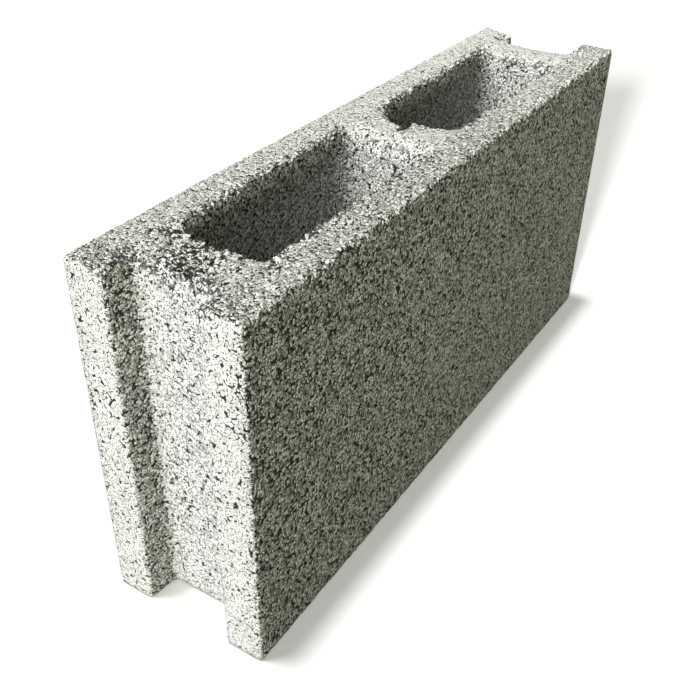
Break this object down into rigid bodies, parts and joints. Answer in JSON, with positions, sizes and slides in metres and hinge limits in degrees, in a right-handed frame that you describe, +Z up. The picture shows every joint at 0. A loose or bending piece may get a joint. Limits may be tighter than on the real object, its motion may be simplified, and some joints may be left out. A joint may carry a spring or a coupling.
{
  "type": "hollow concrete block",
  "caption": "Hollow concrete masonry block: tapered cores right through, webs sitting low at the top, and a mortar groove down each end.",
  "frame": {"origin": "middle of the underside, on the floor that the block stands on", "axes": "+X along the block, from one grooved end to the other; +Y across the wall, from face to face; +Z up, towards the wide ends of the cores"},
  "size_m": [0.39, 0.09, 0.19],
  "materials": {
    "concrete": "moulded lightweight aggregate concrete, open-textured and matt"
  },
  "bodies": {
    "root": {"concrete_block": "concrete"}
  },
  "joints": []
}
